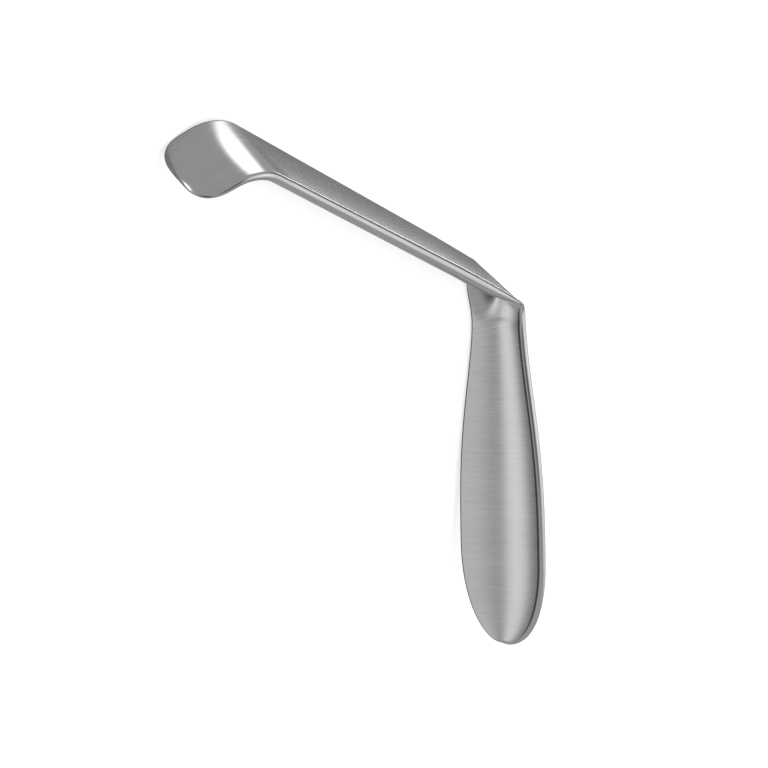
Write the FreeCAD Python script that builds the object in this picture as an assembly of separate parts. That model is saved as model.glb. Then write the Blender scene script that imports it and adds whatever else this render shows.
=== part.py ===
"""Hand-held surgical retractor, forged from one bar of stainless steel.

A broad flat handle runs up into a neck, the neck is bent and turned into a long tapering arm, and the
arm ends in a short blade bent down like a hook. Every cross-section is a flat bar with fully rounded
sides, so the part is one smooth skin through such sections.

While it is drawn, the handle stands upright: X points forward from the handle's face, Y points to the
near side, Z points up the handle, and the origin is the near corner of the neck's bend. At the end the
finished piece is laid down on its far side, as it would come to rest on a table.
"""
import FreeCAD, Part
import math
import os
from FreeCAD import Vector

# Handle, in millimetres, measured from the heel up to the bend
handle_length = 99.3
handle_width = 30.8
handle_thickness = 2.7
ground_depth = 0.05
heel_reach = 27.5
heel_fullness = 2.15
neck_width = 18.4
neck_ease = 1.4
handle_lean = 1.6

# Neck: where its bend starts and ends on each side, along the handle and along the arm
near_bend_reach = 1.6
far_bend_reach = 11.5
far_bend_pull = 6.5
near_side_share = 0.75
near_side_pull = 11.0

# Arm, from the neck's near corner to the corner of the blade's bend
arm_length = 118.7
arm_rise = 32.1
arm_turn = 23.5
arm_root_width = 16.2
arm_root_thickness = 2.5
arm_thickest = 3.4
arm_thickest_at = 32.0
arm_end_thickness = 2.9

# Blade, bent down from the arm
blade_width = 25.5
blade_length = 18.4
blade_drop = 59.0
blade_bend_radius = 13.0
blade_tip_thickness = 1.1
blade_corner_fullness = 3.0
blade_tip_bow = 3.2

# How finely the sections are set: counts round the heel, the blade's bend and its tip, and steps between
heel_sections = 9
bend_sections = 5
tip_sections = 9
longest_step = 8.0
neck_step = 1.5
bend_step = 2.5
step_growth = 0.15
round_steps = 6
flat_steps = 4
flat_grading = 1.8

forward = Vector(1, 0, 0)
near_side = Vector(0, 1, 0)
upward = Vector(0, 0, 1)


def unit(vector):
    """The same direction with length one."""
    return vector * (1 / vector.Length)


def turned(first, second, degrees):
    """The first direction, turned by an angle towards the second, which is square to it."""
    angle = math.radians(degrees)
    return first * math.cos(angle) + second * math.sin(angle)


arm_along = turned(forward, upward, arm_rise)
arm_plain_top = turned(upward, forward * -1, arm_rise)
arm_across = turned(near_side, arm_plain_top * -1, arm_turn)
arm_top = turned(arm_plain_top, near_side, arm_turn)
blade_along = turned(arm_along, arm_top * -1, blade_drop)
blade_top = turned(arm_top, arm_along, blade_drop)
handle_along = turned(upward, near_side * -1, handle_lean)
handle_across = turned(near_side, upward, handle_lean)

bend_tangent = blade_bend_radius * math.tan(math.radians(blade_drop / 2))
arm_straight_end = arm_length - bend_tangent
bend_arc = blade_bend_radius * math.radians(blade_drop)
blade_flat = blade_length - bend_tangent


def rounded_share(distance, radius):
    """Share of the full thickness left near a rounded end, at a distance from that end."""
    part_way = min(distance / radius, 1.0)
    return math.sqrt(1 - (1 - part_way) ** 2)


def handle_half_width(height):
    """Half the handle's width at a height over the heel: a full ellipse, then an easy taper to the neck."""
    widest = handle_width / 2
    narrowest = neck_width / 2
    if height < heel_reach:
        part_way = 1 - height / heel_reach
        return widest * (1 - part_way ** heel_fullness) ** (1 / heel_fullness)
    part_way = min((height - heel_reach) / (handle_length - heel_reach), 1.0)
    ease = 0.5 + 0.5 * math.cos(math.pi * part_way ** neck_ease)
    return narrowest + (widest - narrowest) * ease


def handle_edge(height, side):
    """Point on the handle's edge at a height over the heel; side is 1 for near and -1 for far."""
    centre = handle_across * (-neck_width / 2) + handle_along * (height - handle_length)
    return centre + handle_across * (side * handle_half_width(height))


def arm_width(along):
    """Width of the arm at a distance along it, growing evenly from the neck to the blade's bend."""
    part_way = (along - far_bend_reach) / (arm_straight_end - far_bend_reach)
    return arm_root_width + (blade_width - arm_root_width) * part_way


def arm_thickness(along):
    """Thickness along the arm: it swells to its thickest place, then thins evenly to the blade's bend."""
    if along < arm_thickest_at:
        ease = 0.5 - 0.5 * math.cos(math.pi * max(along, 0) / arm_thickest_at)
        return arm_root_thickness + (arm_thickest - arm_root_thickness) * ease
    part_way = (along - arm_thickest_at) / (arm_straight_end - arm_thickest_at)
    return arm_thickest + (arm_end_thickness - arm_thickest) * part_way


def heel():
    """Sections from the heel's very end up to its full width."""
    sections = []
    for index in range(heel_sections):
        angle = 0.5 * math.pi * ((index + 0.1) / heel_sections) ** 1.15
        height = heel_reach * (1 - math.cos(angle))
        thickness = handle_thickness * rounded_share(height, handle_thickness / 2)
        sections.append((handle_edge(height, 1), handle_edge(height, -1), forward * -1, thickness))
    return sections


def near_point(past):
    """Point and course of the near edge, at a distance past the neck's corner: a tight, small bend."""
    if past <= -near_bend_reach:
        return handle_edge(handle_length + past, 1), handle_along
    if past >= near_bend_reach:
        return arm_along * past, arm_along
    after = (past + near_bend_reach) / (2 * near_bend_reach)
    before = 1 - after
    start = handle_edge(handle_length - near_bend_reach, 1)
    end = arm_along * near_bend_reach
    return start * before ** 2 + end * after ** 2, unit(start * -before + end * after)


def far_point(past):
    """Point and course of the far edge, at a distance past the neck's corner: a long, easy bend."""
    if past <= -far_bend_reach:
        return handle_edge(handle_length + past, -1), handle_along
    if past >= far_bend_reach:
        return arm_along * past - arm_across * arm_width(past), arm_along
    after = (past + far_bend_reach) / (2 * far_bend_reach)
    before = 1 - after
    start = handle_edge(handle_length - far_bend_reach, -1)
    below = handle_edge(handle_length - far_bend_reach - 1, -1)
    leaving = start + unit(start - below) * far_bend_pull
    end = arm_along * far_bend_reach - arm_across * arm_width(far_bend_reach)
    beyond = arm_along * (far_bend_reach + 1) - arm_across * arm_width(far_bend_reach + 1)
    arriving = end - unit(beyond - end) * far_bend_pull
    point = start * before ** 3 + leaving * (3 * before ** 2 * after)
    point = point + arriving * (3 * before * after ** 2) + end * after ** 3
    course = (leaving - start) * before ** 2 + (arriving - leaving) * (2 * before * after)
    return point, unit(course + (end - arriving) * after ** 2)


def neck_thickness(past):
    """Thickness from the handle's, through the neck, to the arm's."""
    if past <= -far_bend_reach:
        return handle_thickness
    if past >= far_bend_reach:
        return arm_thickness(past)
    ease = 0.5 - 0.5 * math.cos(math.pi * (past + far_bend_reach) / (2 * far_bend_reach))
    return handle_thickness + (arm_thickness(far_bend_reach) - handle_thickness) * ease


def handle_neck_and_arm():
    """Sections from the handle's full width, round the neck's bend, to the end of the straight arm."""
    sections = []
    past = heel_reach - handle_length
    while past < arm_straight_end:
        hurry = math.exp(-(past / near_side_pull) ** 2)
        near, near_course = near_point(past * (1 - near_side_share * hurry))
        far, far_course = far_point(past)
        outward = unit((near_course + far_course * 2).cross(near - far))
        sections.append((near, far, outward, neck_thickness(past)))
        nearest_turn = min(neck_step + step_growth * abs(past), bend_step + step_growth * (arm_straight_end - past))
        past += min(longest_step, nearest_turn)
    return sections


def blade_thickness(beyond):
    """Thickness at a distance beyond the arm's straight stretch, thinning evenly to the tip."""
    part_way = beyond / (bend_arc + blade_flat)
    return arm_end_thickness + (blade_tip_thickness - arm_end_thickness) * part_way


def blade():
    """Sections round the blade's bend and down the flat blade to its bowed tip."""
    sections = []
    start = arm_along * arm_straight_end - arm_across * (blade_width / 2)
    half = arm_across * (blade_width / 2)
    for index in range(bend_sections + 1):
        degrees = blade_drop * index / bend_sections
        angle = math.radians(degrees)
        reach = arm_along * (blade_bend_radius * math.sin(angle))
        sink = arm_top * (blade_bend_radius * (1 - math.cos(angle)))
        centre = start + reach - sink
        outward = turned(arm_top, arm_along, degrees)
        sections.append((centre + half, centre - half, outward, blade_thickness(blade_bend_radius * angle)))
    bend_end = centre
    for index in range(1, tip_sections + 1):
        angle = 0.5 * math.pi * (1 - (1 - (index - 0.1) / tip_sections) ** 1.15)
        reach = math.sin(angle)
        half_width = blade_width / 2 * (1 - reach ** blade_tip_bow) ** (1 / blade_corner_fullness)
        share = rounded_share(blade_flat * (1 - reach), blade_tip_thickness / 2)
        centre = bend_end + blade_along * (blade_flat * reach)
        half = arm_across * half_width
        thickness = blade_thickness(bend_arc + blade_flat * reach) * share
        sections.append((centre + half, centre - half, blade_top, thickness))
    return sections


def outline(section):
    """Closed loop of points round one section, starting and ending in the middle of its top flat."""
    near, far, outward, thickness = section
    across = unit(near - far)
    radius = thickness / 2
    middle = (near + far) / 2
    flat_half = (near - far).Length / 2 - radius
    reaches = [flat_half * (1 - (1 - step / flat_steps) ** flat_grading) for step in range(flat_steps)]
    turns = [math.pi * step / round_steps for step in range(round_steps + 1)]
    loop = []
    for side, rise in ((across, outward * radius), (across * -1, outward * -radius)):
        loop += [middle + side * reach + rise for reach in reaches]
        loop += [middle + side * (flat_half + radius * math.sin(turn)) + rise * math.cos(turn) for turn in turns]
        loop += [middle + side * reach - rise for reach in reversed(reaches[1:])]
    return loop + loop[:1]


def threaded(points, places):
    """Smooth curve through points that lie at the given places along it."""
    curve = Part.BSplineCurve()
    curve.interpolate(Points=points, Parameters=places)
    return curve


def patch(surface, low, high, left, right):
    """The piece of a surface between two places along it and two places round it."""
    piece = surface.copy()
    piece.segment(low, high, left, right)
    return piece.toShape()


def skin(sections, stretch_ends):
    """One smooth surface through every outline, closed at the heel and at the blade's tip."""
    loops = [outline(section) for section in sections]
    round_places = [float(index) for index in range(len(loops[0]))]
    along_places = [0.0]
    for before, after in zip(sections, sections[1:]):
        stride = (after[0] - before[0]).Length + (after[1] - before[1]).Length
        along_places.append(along_places[-1] + stride / 2)
    hoops = [threaded(loop, round_places) for loop in loops]
    stringers = [threaded(list(line), along_places) for line in zip(*[hoop.getPoles() for hoop in hoops])]
    surface = Part.BSplineSurface()
    surface.buildFromPolesMultsKnots(
        [list(line) for line in zip(*[stringer.getPoles() for stringer in stringers])],
        stringers[0].getMultiplicities(), hoops[0].getMultiplicities(),
        stringers[0].getKnots(), hoops[0].getKnots(), False, False,
        stringers[0].Degree, hoops[0].Degree)
    loop_end = len(loops[0]) - 1
    seams = [0, loop_end / 4, loop_end / 2, loop_end * 3 / 4, loop_end]
    joints = [along_places[index] for index in stretch_ends]
    faces = [patch(surface, low, high, left, right)
             for low, high in zip(joints, joints[1:])
             for left, right in zip(seams, seams[1:])]
    for place in (joints[0], joints[-1]):
        rim = [surface.uIso(place).toShape(left, right) for left, right in zip(seams, seams[1:])]
        faces.append(Part.Face(Part.Wire(rim)))
    shell = Part.makeShell(faces)
    shell.sewShape()
    solid = Part.makeSolid(shell)
    if solid.Volume < 0:
        solid.reverse()
    return solid


def ground_flat(solid):
    """The part with the back of its handle ground to one true plane, a hair below its highest points."""
    reach = handle_length + arm_length
    plane_level = ground_depth - handle_thickness / 2
    waste = Part.makeBox(reach, 2 * reach, 2 * reach, Vector(plane_level - reach, -reach, -reach))
    return solid.cut(waste).Solids[0]


def first_touch(points, pivot, axis, up):
    """Turn of the up direction about an axis through the pivot at which the next point meets the table."""
    across = axis.cross(up)
    best_angle = math.pi
    best_point = None
    for point in points:
        offset = point - pivot
        sideways = offset.dot(across)
        level = offset.dot(up)
        if abs(sideways) < 0.5 and abs(level) < 0.5:
            continue
        angle = math.atan2(level, -sideways)
        if 1e-6 < angle < best_angle:
            best_angle = angle
            best_point = point
    return best_angle, best_point


def resting_up(points, centre):
    """The direction that points up once the part, dropped on its far side, has rolled to rest."""
    up = near_side
    lowest = min(points, key=lambda point: point.dot(up))
    touching = [lowest]
    pivot_edge = unit((centre - lowest).cross(up))
    for _ in range(12):
        angle, point = first_touch(points, touching[0], pivot_edge, up)
        up = unit(up * math.cos(angle) + pivot_edge.cross(up) * math.sin(angle))
        touching.append(point)
        if len(touching) == 2:
            pivot_edge = unit(touching[1] - touching[0])
            if (centre - touching[0]).dot(pivot_edge.cross(up)) > 0:
                pivot_edge = pivot_edge * -1
            continue
        outside = None
        for first, second, third in ((0, 2, 1), (1, 2, 0)):
            edge = unit(touching[second] - touching[first])
            inward = edge.cross(up)
            if inward.dot(touching[third] - touching[first]) < 0:
                inward = inward * -1
            if inward.dot(centre - touching[first]) < 0:
                outside = (touching[first], touching[second])
        if outside is None:
            return up
        touching = list(outside)
        pivot_edge = unit(touching[1] - touching[0])
        if (centre - touching[0]).dot(pivot_edge.cross(up)) > 0:
            pivot_edge = pivot_edge * -1
    return up


def lay_down(solid, points):
    """Turn the part so that it lies at rest, with the middle of its footprint at the origin."""
    up = resting_up(points, solid.CenterOfMass)
    turn = FreeCAD.Rotation(up, upward)
    handle_now = turn.multVec(handle_along)
    heading = math.degrees(math.atan2(handle_now.y, handle_now.x))
    turn = FreeCAD.Rotation(upward, 90 - heading).multiply(turn)
    laid = [turn.multVec(point) for point in points]
    middle_x = (min(point.x for point in laid) + max(point.x for point in laid)) / 2
    middle_y = (min(point.y for point in laid) + max(point.y for point in laid)) / 2
    floor = min(point.z for point in laid)
    placed = solid.copy()
    placed.Placement = FreeCAD.Placement(Vector(-middle_x, -middle_y, -floor), turn)
    return placed


def build():
    """The finished retractor, lying at rest."""
    stretches = [heel(), handle_neck_and_arm(), blade()]
    sections = []
    stretch_ends = [0]
    for stretch in stretches:
        sections += stretch
        stretch_ends.append(len(sections) - 1)
    points = [point for section in sections for point in outline(section)]
    return lay_down(ground_flat(skin(sections, stretch_ends)), points)


os.makedirs("parts", exist_ok=True)
retractor = build()
retractor.exportStep("parts/retractor.step")
box = retractor.optimalBoundingBox(False, False)
print("valid", retractor.isValid(), "solids", len(retractor.Solids), "faces", len(retractor.Faces))
print("volume mm3", round(retractor.Volume, 1))
print("box mm", [round(v, 2) for v in (box.XMin, box.YMin, box.ZMin, box.XMax, box.YMax, box.ZMax)])
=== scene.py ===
"""Looks of a hand-held surgical retractor: satin ground steel, a white sweep, soft light and a camera."""
import math

import bpy
import numpy as np
from mathutils import Matrix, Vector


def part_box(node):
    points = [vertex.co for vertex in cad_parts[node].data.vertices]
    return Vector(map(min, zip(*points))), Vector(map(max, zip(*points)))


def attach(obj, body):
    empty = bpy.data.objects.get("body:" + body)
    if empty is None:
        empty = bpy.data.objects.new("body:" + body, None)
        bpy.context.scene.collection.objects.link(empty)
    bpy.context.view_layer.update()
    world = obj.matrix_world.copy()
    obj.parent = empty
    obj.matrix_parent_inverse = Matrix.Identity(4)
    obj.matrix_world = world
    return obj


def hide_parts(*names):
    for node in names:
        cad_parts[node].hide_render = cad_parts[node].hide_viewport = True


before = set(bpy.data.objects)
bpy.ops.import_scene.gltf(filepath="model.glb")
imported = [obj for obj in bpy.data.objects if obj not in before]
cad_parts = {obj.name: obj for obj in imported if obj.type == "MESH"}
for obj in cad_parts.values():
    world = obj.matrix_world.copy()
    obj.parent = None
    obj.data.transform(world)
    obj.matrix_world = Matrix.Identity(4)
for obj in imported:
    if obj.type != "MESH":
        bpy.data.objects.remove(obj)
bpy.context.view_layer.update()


# The retractor is one forged bar of stainless steel: a broad flat handle runs up into a neck, the neck is
# bent and turned into a long tapering arm, and the arm ends in a short blade bent down like a hook. Every
# cross-section is a flat bar with fully rounded sides. It is ground along the arm and across the handle.
handle_length = 0.0993
handle_width = 0.0308
handle_thickness = 0.0027
ground_depth = 0.00005
heel_reach = 0.0275
heel_fullness = 2.15
neck_width = 0.0184
neck_ease = 1.4
handle_lean = 1.6

near_bend_reach = 0.0016
far_bend_reach = 0.0115
far_bend_pull = 0.0065
near_side_share = 0.75
near_side_pull = 0.011
neck_flare = np.array([0.0024, -0.0011, 0.0009])
neck_flare_at = 0.002
neck_flare_reach = 0.007

arm_length = 0.1187
arm_rise = 32.1
arm_turn = 23.5
arm_root_width = 0.0162
arm_root_thickness = 0.0025
arm_thickest = 0.0034
arm_thickest_at = 0.032
arm_end_thickness = 0.0029

blade_width = 0.0255
blade_length = 0.0184
blade_drop = 59.0
blade_bend_radius = 0.013
blade_tip_thickness = 0.0011
blade_corner_fullness = 3.0
blade_tip_bow = 3.2

rest_lean = 9.58
rest_dip = 6.809

forward, near_side, upward = np.eye(3)


def turned(first, second, degrees):
    """The first direction times the angle's cosine, plus the second, square to it, times its sine."""
    angle = np.radians(degrees)
    return first * np.cos(angle) + second * np.sin(angle)


arm_along = turned(forward, upward, arm_rise)
arm_plain_top = turned(upward, -forward, arm_rise)
arm_across = turned(near_side, -arm_plain_top, arm_turn)
arm_top = turned(arm_plain_top, near_side, arm_turn)
blade_along = turned(arm_along, -arm_top, blade_drop)
handle_along = turned(upward, -near_side, handle_lean)
handle_across = turned(near_side, upward, handle_lean)

bend_tangent = blade_bend_radius * math.tan(math.radians(blade_drop / 2))
arm_straight_end = arm_length - bend_tangent
bend_arc = blade_bend_radius * math.radians(blade_drop)
blade_flat = blade_length - bend_tangent


def rows(numbers):
    """A column of numbers, so that each one scales a direction."""
    return np.asarray(numbers)[:, None]


def unit(directions):
    """Each direction divided by its length."""
    return directions / np.linalg.norm(directions, axis=-1, keepdims=True)


def smooth(share):
    """Eases from 0 to 1: three times the square less twice the cube, held at both ends."""
    share = np.clip(share, 0, 1)
    return share ** 2 * (3 - 2 * share)


def rounded_share(distance, radius):
    """Share of the full thickness near a rounded end: the root of one less the square of what is left."""
    return np.sqrt(1 - (1 - np.clip(distance / radius, 0, 1)) ** 2)


def handle_edge(height, side):
    """Edge of the handle at heights over the heel, on the near side (1) or the far side (-1).

    The half width is a full ellipse up to heel_reach, times half a cosine wave that eases it to the neck.
    """
    below = np.clip(1 - height / heel_reach, 0, 1)
    ellipse = (1 - below ** heel_fullness) ** (1 / heel_fullness)
    beyond = np.clip((height - heel_reach) / (handle_length - heel_reach), 0, 1)
    ease = 0.5 + 0.5 * np.cos(np.pi * beyond ** neck_ease)
    half = ellipse * (neck_width + (handle_width - neck_width) * ease) / 2
    return rows(side * half - neck_width / 2) * handle_across + rows(height - handle_length) * handle_along


def near_edge(past):
    """Near edge at distances past the neck's corner: handle, a small bend through the corner's pull, arm."""
    after = rows(np.clip((past + near_bend_reach) / (2 * near_bend_reach), 0, 1))
    handle = handle_edge(handle_length + np.minimum(past, -near_bend_reach), 1)
    arm = rows(np.maximum(past, near_bend_reach)) * arm_along
    return handle * (1 - after) ** 2 + arm * after ** 2


def near_course(past):
    """How far the near edge has got: the distance, held back near the corner by a bell curve."""
    return past * (1 - near_side_share * np.exp(-(past / near_side_pull) ** 2))


def arm_far_edge(past):
    """Far edge of the arm, whose width grows evenly from the neck to the blade's bend."""
    grown = (past - far_bend_reach) / (arm_straight_end - far_bend_reach)
    width = arm_root_width + (blade_width - arm_root_width) * grown
    return rows(past) * arm_along - rows(width) * arm_across


edge_step = 0.001


def far_edge(past):
    """Far edge at distances past the neck's corner: handle, a cubic curve with two equal pulls, arm.

    The pulls lie along the edges, whose directions are read over a small step.
    """
    reach = np.array([far_bend_reach, far_bend_reach + edge_step])
    start, below = handle_edge(handle_length - reach, -1)
    end, beyond = arm_far_edge(reach)
    leaving = start + unit(start - below) * far_bend_pull
    arriving = end - unit(beyond - end) * far_bend_pull
    after = rows(np.clip((past + far_bend_reach) / (2 * far_bend_reach), 0, 1))
    before = 1 - after
    handle = handle_edge(handle_length + np.minimum(past, -far_bend_reach), -1)
    arm = arm_far_edge(np.maximum(past, far_bend_reach))
    curve = 3 * before ** 2 * after * leaving + 3 * before * after ** 2 * arriving
    return handle * before ** 3 + curve + arm * after ** 3


def bar_thickness(past):
    """Thickness at distances past the corner: rounded at the heel, eased up the neck, swelling, thinning."""
    swell = 0.5 - 0.5 * np.cos(np.pi * np.clip(past / arm_thickest_at, 0, 1))
    thinned = np.clip((past - arm_thickest_at) / (arm_straight_end - arm_thickest_at), 0, 1)
    arm = arm_root_thickness + (arm_thickest - arm_root_thickness) * swell
    arm = arm + (arm_end_thickness - arm_thickest) * thinned
    ease = 0.5 - 0.5 * np.cos(np.pi * np.clip((past + far_bend_reach) / (2 * far_bend_reach), 0, 1))
    heel = rounded_share(past + handle_length, handle_thickness / 2)
    return heel * (handle_thickness + (arm - handle_thickness) * ease)


heel_sections = 60
bar_sections_between = 280
bend_sections = 40
tip_sections = 60
corner_spacing = 0.006


def bar_sections():
    """Near edge, far edge, outward direction, thickness and distance past the corner of every section.

    The sections lie closest at the heel's end, at the neck's corner and at the tip. Outward is square to the
    section's width and to one part of the near edge's course with two of the far's. The far edge then flares
    by a bell curve. Round the blade's bend the bar turns about its own width. Its tip bows in to a point.
    """
    heel_turn = np.linspace(0, np.pi / 2, heel_sections + 1)[1:]
    heel_past = heel_reach * (1 - np.cos(heel_turn)) - handle_length
    first = np.arcsinh(heel_past[-1] / corner_spacing)
    last = np.arcsinh(arm_straight_end / corner_spacing)
    neck_turn = np.linspace(first, last, bar_sections_between + 1)[1:]
    past = np.concatenate([heel_past, corner_spacing * np.sinh(neck_turn)])
    near = near_edge(near_course(past))
    far = far_edge(past)
    course = unit(np.gradient(near, axis=0)) + 2 * unit(np.gradient(far, axis=0))
    outward = unit(np.cross(course, near - far))
    far = far + rows(np.exp(-((past - neck_flare_at) / neck_flare_reach) ** 2)) * neck_flare

    bend = np.linspace(0, math.radians(blade_drop), bend_sections + 1)[1:]
    start = arm_along * arm_straight_end - arm_across * (blade_width / 2)
    reach = rows(blade_bend_radius * np.sin(bend)) * arm_along
    bend_middle = start + reach - rows(blade_bend_radius * (1 - np.cos(bend))) * arm_top
    bend_outward = turned(arm_top, arm_along, rows(np.degrees(bend)))

    tip = np.sin(np.linspace(0, np.pi / 2, tip_sections + 1)[1:-1])
    tip_middle = bend_middle[-1] + rows(blade_flat * tip) * blade_along
    tip_half = blade_width / 2 * (1 - tip ** blade_tip_bow) ** (1 / blade_corner_fullness)
    tip_outward = np.repeat(bend_outward[-1:], len(tip), axis=0)

    middle = np.concatenate([bend_middle, tip_middle])
    half = rows(np.concatenate([np.full(len(bend), blade_width / 2), tip_half])) * arm_across
    beyond = np.concatenate([blade_bend_radius * bend, bend_arc + blade_flat * tip])
    thinning = (blade_tip_thickness - arm_end_thickness) * beyond / (bend_arc + blade_flat)
    blade_thickness = (arm_end_thickness + thinning) * rounded_share(
        bend_arc + blade_flat - beyond, blade_tip_thickness / 2)
    return (np.concatenate([near, middle + half]), np.concatenate([far, middle - half]),
            np.concatenate([outward, bend_outward, tip_outward]),
            np.concatenate([bar_thickness(past), blade_thickness]),
            np.concatenate([past, arm_straight_end + beyond]))


flat_steps = 16
flat_crowding = 1.8
side_steps = 24


def section_loop():
    """Round one section from the middle of its top: side, share of the flat, and turn about the side.

    The flats' points crowd towards their ends by a power, and each side is half a circle in even steps.
    """
    flat = 1 - (1 - np.linspace(0, 1, flat_steps + 1)[:-1]) ** flat_crowding
    turn = np.linspace(0, np.pi, side_steps + 1)
    near_share = np.concatenate([flat, np.ones(len(turn)), flat[::-1]])
    near_turn = np.concatenate([np.zeros(len(flat)), turn, np.full(len(flat), np.pi)])
    far_share, far_turn = near_share[1:-1], np.pi - near_turn[1:-1]
    side = np.concatenate([np.ones(len(near_share)), -np.ones(len(far_share))])
    return side, np.concatenate([near_share, far_share]), np.concatenate([near_turn, far_turn])


thin_from_past = -0.003
thin_ease = 0.007
thinnest_share = -0.5
swollen_share = 1.2
swollen_at = 0.018
swell_fade = 0.014
thin_from_place = -0.2


def underside_share(past):
    """Share of the half thickness under the near edge: drawn thin past the corner, swelling, then full."""
    drawn = smooth((past - thin_from_past) / thin_ease)
    swollen = thinnest_share + (swollen_share - thinnest_share) * smooth(past / swollen_at)
    full = smooth((past - swollen_at) / swell_fade)
    return 1 + drawn * (swollen + (1 - swollen) * full - 1)


# Each point of the skin lies sideways along its section's width and rises over or under its middle. The
# handle's back is ground to one plane.
near, far, outward, thickness, past = bar_sections()
across = unit(near - far)
radius = thickness / 2
flat_half = np.linalg.norm(near - far, axis=1) / 2 - radius
side, share, around = section_loop()
sideways = side * (rows(flat_half) * share + rows(radius) * np.sin(around))
flat_place = sideways / rows(flat_half)
nearness = smooth((flat_place - thin_from_place) / (1 - thin_from_place))
under = 1 + nearness * (rows(underside_share(past)) - 1)
rise = rows(radius) * ((1 + under) * np.cos(around) + 1 - under) / 2
section_middle = ((near + far) / 2)[:, None]
skin = section_middle + sideways[..., None] * across[:, None] + rise[..., None] * outward[:, None]
skin[..., 0] = np.maximum(skin[..., 0], ground_depth - handle_thickness / 2)

# Under the neck the handle's front face runs on, flat, to a crease just below the arm. It comes in from the
# far side, and its near edge climbs with the corner.
face_run_from = -0.009
face_run_ease = 0.003
crease_from = 0.0037
crease_ease = 0.004
face_full_place = 0.1
face_end = flat_steps + side_steps
climb = rows(near_course(past) - skin[:, face_end, 2])
face_run = smooth((past - face_run_from) / face_run_ease) * (1 - smooth((past - crease_from) / crease_ease))
face_run = rows(face_run) * smooth((flat_place + 1) / (1 + face_full_place))
face_run = face_run * np.clip(-np.cos(around), 0, 1) ** 2
skin[..., 0] += face_run * (handle_thickness / 2 - skin[..., 0])
skin[..., 2] += face_run * climb

# Over the neck the back swells a little, by a bell curve along the bar, most on its far side.
neck_crown = 0.0013
neck_crown_at = 0.003
neck_crown_reach = 0.006
crown_full_place = -0.2
neck_swell = rows(neck_crown * np.exp(-((past - neck_crown_at) / neck_crown_reach) ** 2))
neck_swell = neck_swell * smooth((1 - flat_place) / (1 - crown_full_place))
skin[..., 2] += neck_swell * np.clip(np.cos(around), 0, 1)


def lie_down(points):
    """The points turned from the upright drawing so that the bar lies at rest, and moved onto the frame."""
    up = turned(turned(near_side, -upward, rest_dip), forward, rest_lean)
    along_table = unit(handle_along - up * (handle_along @ up))
    turn = np.stack([np.cross(along_table, up), along_table, up])
    laid = points @ turn.T
    low, high = laid.min(axis=0), laid.max(axis=0)
    node_low, node_high = (np.array(corner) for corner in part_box("retractor"))
    shift = (node_low + node_high - low - high) / 2
    shift[2] = node_low[2] - low[2]
    return laid + shift, turn, shift


heel_end = handle_edge(np.array([0.0]), 0)
tip_end = (near[-1:] + far[-1:]) / 2
tip_end = tip_end + blade_along * (arm_straight_end + bend_arc + blade_flat - past[-1])
points, lying_turn, lying_shift = lie_down(np.concatenate([skin.reshape(-1, 3), heel_end, tip_end]))

stations, girth = sideways.shape
at = np.arange(stations * girth).reshape(stations, girth)
after = np.roll(at, -1, axis=1)
quads = np.stack([at[:-1], at[1:], after[1:], after[:-1]], axis=-1).reshape(-1, 4)
heel_fan = np.stack([np.full(girth, at.size), at[0], after[0]], axis=-1)
tip_fan = np.stack([at[-1], np.full(girth, at.size + 1), after[-1]], axis=-1)
mesh = bpy.data.meshes.new("retractor_bar")
mesh.from_pydata(points, [], [*quads.tolist(), *heel_fan.tolist(), *tip_fan.tolist()])
mesh.shade_smooth()
retractor_bar = bpy.data.objects.new("retractor_bar", mesh)
bpy.context.scene.collection.objects.link(retractor_bar)


def lay_values(name, kind, values, ends):
    """Writes one value for each point of the skin, and those of its two end points, into an attribute."""
    together = np.concatenate([values.reshape(stations * girth, -1), np.reshape(ends, (2, -1))])
    field = "vector" if kind == "FLOAT_VECTOR" else "value"
    mesh.attributes.new(name, kind, "POINT").data.foreach_set(field, together.astype(np.float32).ravel())


# The grinding lines run across the handle, a little aslant, and lengthwise on the arm and the blade. Their
# place on the bar is worked out here: along a line, across the lines, and up from the bar's middle.
grind_slant = 10.0
arm_grain_from = -0.004
arm_grain_ease = 0.010
arm_grain = rows(smooth((past - arm_grain_from) / arm_grain_ease))
along = np.broadcast_to(rows(past), sideways.shape)
slant = math.radians(grind_slant)
handle_line = sideways * math.cos(slant) + along * math.sin(slant)
handle_step = along * math.cos(slant) - sideways * math.sin(slant)
grain = np.stack([handle_line + (along - handle_line) * arm_grain,
                  handle_step + (sideways - handle_step) * arm_grain, rise], axis=-1)
lay_values("grain", "FLOAT_VECTOR", grain, [[0, -handle_length, 0], [arm_length, 0, 0]])

# The handle's faces are ground a hair crowned, as a belt leaves them, and the arm's faces less so. A crown's
# slope grows evenly with the share of the half width, up to its angle at the edge.
handle_crown_angle = 14.0
arm_crown_angle = 4.0
handle_crown = math.tan(math.radians(handle_crown_angle))
arm_crown = math.tan(math.radians(arm_crown_angle))
crown = np.abs(flat_half + radius) / 2 * (handle_crown + (arm_crown - handle_crown) * arm_grain[:, 0])
lay_values("width_share", "FLOAT", sideways / rows(flat_half + radius), [0, 0])
lay_values("crown", "FLOAT", np.broadcast_to(rows(crown), sideways.shape), [0, 0])
lay_values("round_side", "FLOAT", np.broadcast_to(np.sqrt(np.sin(around)), sideways.shape), [1, 1])


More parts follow.
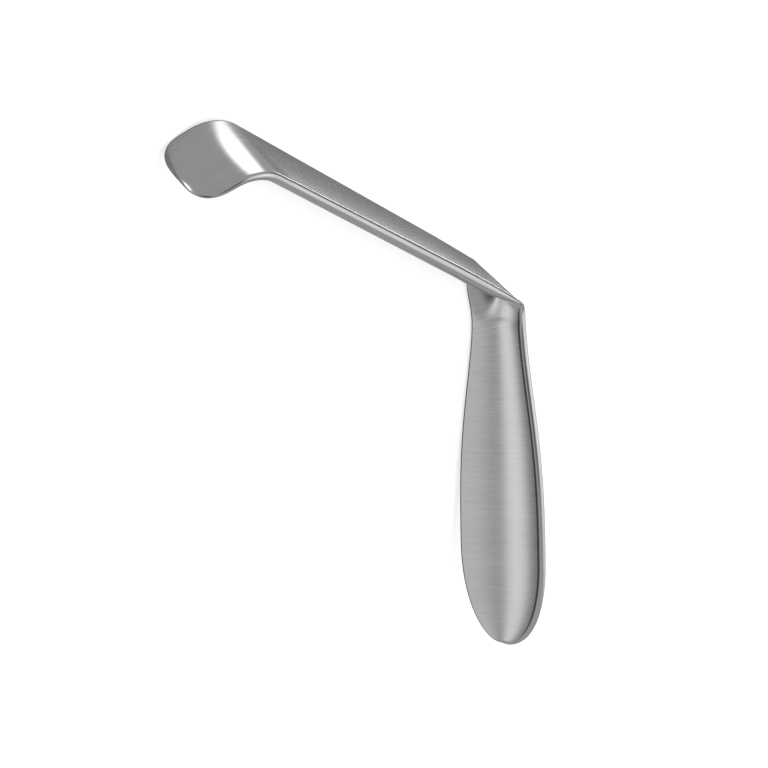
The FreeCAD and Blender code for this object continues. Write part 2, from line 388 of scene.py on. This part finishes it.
class Tone:
    """One output of a node tree; sums, differences and products of tones add Math nodes."""

    def __init__(self, tree, socket=None):
        self.tree = tree
        self.socket = socket

    def node(self, kind, settings, sockets, output=0):
        """Adds a node, sets its settings and then its sockets from values or tones, and gives an output."""
        made = self.tree.nodes.new(kind)
        for name, value in settings.items():
            setattr(made, name, value)
        for name, value in sockets.items():
            if isinstance(value, Tone):
                self.tree.links.new(value.socket, made.inputs[name])
            else:
                made.inputs[name].default_value = value
        return Tone(self.tree, made.outputs[output] if made.outputs else None)

    def math(self, operation, first, second):
        """Adds a Math node that works on two tones or numbers."""
        return self.node("ShaderNodeMath", {"operation": operation}, {0: first, 1: second})

    def __add__(self, other):
        return self.math("ADD", self, other)

    def __sub__(self, other):
        return self.math("SUBTRACT", self, other)

    def __rsub__(self, other):
        return self.math("SUBTRACT", other, self)

    def __mul__(self, other):
        return self.math("MULTIPLY", self, other)

    __radd__ = __add__
    __rmul__ = __mul__


def streaks(place, line_length, line_pitch, detail):
    """Noise drawn out along the grinding lines, from 0 to 1, with lines of a given length and pitch."""
    stretched = place.node("ShaderNodeMapping", {"vector_type": "POINT"}, {
        "Vector": place, "Scale": (1 / line_length, 1 / line_pitch, 1 / line_pitch)})
    return place.node("ShaderNodeTexNoise", {"noise_dimensions": "3D"}, {
        "Vector": stretched, "Scale": 1.0, "Detail": detail, "Roughness": 0.55})


fine_line, fine_pitch, fine_depth = 0.009, 0.00024, 0.0000030
coarse_line, coarse_pitch, coarse_depth = 0.020, 0.0008, 0.0000060
cloud_line, cloud_pitch = 0.030, 0.009
bend_shade_before, bend_shade_after = 0.007, 0.015
bend_shade_lean, bend_shade_crown = 0.002646, 0.000882
plain_roughness, line_roughness, side_polish = 0.15, 0.05, 0.04
plain_tone, fine_tone, coarse_tone, cloud_tone = 0.48, 0.17, 0.07, 0.06
blue_share = 0.992


def ground_steel():
    """Satin steel: grinding lines in its height, gloss and tone, and a crown across each face.

    The height is the lines' depths, less the crown times the square of the width's share. Round the blade's
    bend a lean, in proportion to the share, is added to it, and a small crown is taken off.
    """
    material = bpy.data.materials.new("ground_steel")
    material.use_nodes = True
    tree = material.node_tree
    tree.nodes.clear()
    start = Tone(tree)
    place = start.node("ShaderNodeAttribute", {"attribute_name": "grain"}, {}, "Vector")
    width_share = start.node("ShaderNodeAttribute", {"attribute_name": "width_share"}, {}, "Fac")
    crown_height = start.node("ShaderNodeAttribute", {"attribute_name": "crown"}, {}, "Fac")
    round_side = start.node("ShaderNodeAttribute", {"attribute_name": "round_side"}, {}, "Fac")
    fine = streaks(place, fine_line, fine_pitch, 2.0)
    coarse = streaks(place, coarse_line, coarse_pitch, 3.0)
    cloud = streaks(place, cloud_line, cloud_pitch, 1.0)
    share_square = width_share * width_share
    height = fine * fine_depth + coarse * coarse_depth - crown_height * share_square
    bar_place = start.node("ShaderNodeSeparateXYZ", {}, {"Vector": place}, "X")
    in_bend = start.node("ShaderNodeMapRange", {"interpolation_type": "SMOOTHSTEP"}, {
        "Value": bar_place, "From Min": arm_straight_end - bend_shade_before,
        "From Max": arm_straight_end + bend_shade_after, "To Min": 0.0, "To Max": 1.0})
    height = height + in_bend * (width_share * bend_shade_lean - share_square * bend_shade_crown)
    bump = start.node("ShaderNodeBump", {}, {"Strength": 1.0, "Distance": 1.0, "Height": height}, "Normal")
    roughness = plain_roughness + fine * line_roughness + coarse * line_roughness - round_side * side_polish
    light = plain_tone + coarse * coarse_tone + fine * fine_tone + cloud * cloud_tone
    tone = start.node("ShaderNodeCombineColor", {}, {
        "Red": light, "Green": light, "Blue": light * blue_share})
    steel = start.node("ShaderNodeBsdfPrincipled", {}, {
        "Base Color": tone, "Metallic": 1.0, "Roughness": roughness, "Normal": bump})
    start.node("ShaderNodeOutputMaterial", {}, {"Surface": steel})
    return material


mesh.materials.append(ground_steel())
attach(retractor_bar, "root")
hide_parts("retractor")


# The sweep is matt white board under and behind the part. It shows plain white and keeps the part's own soft
# shadow. The steel shows the studio round it and not the board, which would turn the whole handle white.
sweep_size = 3.0
board_grey = 0.60
board_glow = 0.62
half_sweep = sweep_size / 2
sweep = bpy.data.objects.new("sweep", bpy.data.meshes.new("sweep"))
sweep_corners = [(-half_sweep, -half_sweep, 0), (half_sweep, -half_sweep, 0),
                 (half_sweep, half_sweep, 0), (-half_sweep, half_sweep, 0)]
sweep.data.from_pydata(sweep_corners, [], [(0, 1, 2, 3)])
bpy.context.scene.collection.objects.link(sweep)
white_board = bpy.data.materials.new("white_board")
white_board.use_nodes = True
white_board.node_tree.nodes.clear()
board = Tone(white_board.node_tree)
seen = board.node("ShaderNodeLightPath", {}, {}, "Is Camera Ray")
for ray in ("Is Glossy Ray", "Is Transmission Ray"):
    seen = seen + board.node("ShaderNodeLightPath", {}, {}, ray)
matt = board.node("ShaderNodeBsdfDiffuse", {}, {"Color": (board_grey, board_grey, board_grey, 1)})
glow = board.node("ShaderNodeEmission", {}, {"Color": (1, 1, 1, 1), "Strength": seen * board_glow})
matt_and_glow = board.node("ShaderNodeAddShader", {}, {0: matt, 1: glow})
board.node("ShaderNodeOutputMaterial", {}, {"Surface": matt_and_glow})
sweep.data.materials.append(white_board)
sweep.visible_glossy = False


# The light comes from a pale studio all round, with soft boxes and dark cards in it that the steel shows:
# each is a round patch of the surroundings, given in the drawing's directions, with a soft rim.
def patch(direction, towards, inner, outer):
    """1 within the inner angle of a direction, easing to 0 at the outer angle, both in degrees."""
    aim = unit(lying_turn @ np.array(towards))
    closeness = direction.node("ShaderNodeVectorMath", {"operation": "DOT_PRODUCT"}, {
        0: direction, 1: tuple(aim)}, "Value")
    rim, full = np.cos(np.radians([outer, inner])).tolist()
    return direction.node("ShaderNodeMapRange", {"interpolation_type": "SMOOTHSTEP"}, {
        "Value": closeness, "From Min": rim, "From Max": full, "To Min": 0.0, "To Max": 1.0})


# Each row holds the direction, the two angles, and how much light is added or which share is taken away.
studio_level = 0.43
arm_side_boxes = [((-0.50, 0.85, 0.10), 12, 32, 0.50), ((-0.80, 0.56, -0.15), 10, 32, 0.45)]
bend_box = ((-0.65, -0.41, 0.64), 9, 19, 1.9)
handle_boxes = [((0.813, -0.469, -0.345), 3, 10, 0.70), ((0.29, -0.893, -0.345), 8, 26, 0.26)]
blade_side_card = ((0.20, 0.95, 0.15), 12, 30, 0.70)
under_ridge_card = ((-0.989, 0.0, 0.14), 8, 18, 0.85)
handle_cards = [((0.925, 0.16, -0.345), 16, 34, 0.85), ((-0.36, -0.865, -0.345), 12, 28, 0.75)]
arm_top_card = ((-0.70, -0.66, -0.28), 10, 30, 0.50)
ridge_box = ((-0.940, -0.330, 0.070), 2, 6, 3.0)

studio = bpy.data.worlds.new("studio")
bpy.context.scene.world = studio
studio.use_nodes = True
studio.node_tree.nodes.clear()
air = Tone(studio.node_tree)
direction = air.node("ShaderNodeTexCoord", {}, {}, "Generated")
surroundings = studio_level
for towards, inner, outer, added in [*arm_side_boxes, bend_box, *handle_boxes]:
    surroundings = surroundings + patch(direction, towards, inner, outer) * added
for towards, inner, outer, taken in [blade_side_card, under_ridge_card, *handle_cards, arm_top_card]:
    surroundings = surroundings * (1 - patch(direction, towards, inner, outer) * taken)
towards, inner, outer, added = ridge_box
surroundings = surroundings + patch(direction, towards, inner, outer) * added
background = air.node("ShaderNodeBackground", {}, {"Color": (1, 1, 1, 1), "Strength": surroundings})
air.node("ShaderNodeOutputWorld", {}, {"Surface": background})

overhead = bpy.data.objects.new("overhead", bpy.data.lights.new("overhead", "AREA"))
overhead.data.shape = "DISK"
overhead.data.size = 1.2
overhead.data.energy = 9.0
overhead.location = (0.1, 0.1, 1.2)
overhead.visible_glossy = False
bpy.context.scene.collection.objects.link(overhead)


# The camera looks at the part from in front of its handle, with a long lens, as in the photograph. It is
# shifted sideways and up so that the neck's corner falls on the photograph's pixel.
camera_distance = 2.0
camera_round = 43.547
camera_height = 20.152
frame_size = 768
pixels_per_metre = 3700
corner_pixel = (524.0, 308.0)

toward = turned(turned(forward, near_side, camera_round), upward, camera_height)
right = turned(near_side, -forward, camera_round)
picture_up = np.cross(toward, right)
aside = (frame_size / 2 - corner_pixel[0]) / pixels_per_metre
above = (corner_pixel[1] - frame_size / 2) / pixels_per_metre
eye = toward * camera_distance + right * aside + picture_up * above
camera = bpy.data.objects.new("camera", bpy.data.cameras.new("camera"))
camera.data.sensor_width = 36.0
camera.data.lens = camera.data.sensor_width * pixels_per_metre * camera_distance / frame_size
camera.data.clip_start = 0.01
camera.data.clip_end = 20.0
axes = np.stack([right, picture_up, toward], axis=1)
placed = np.eye(4)
placed[:3, :3] = lying_turn @ axes
placed[:3, 3] = lying_turn @ eye + lying_shift
camera.matrix_world = Matrix(placed.tolist())
bpy.context.scene.collection.objects.link(camera)
bpy.context.scene.camera = camera

bpy.context.scene.view_settings.view_transform = "Standard"
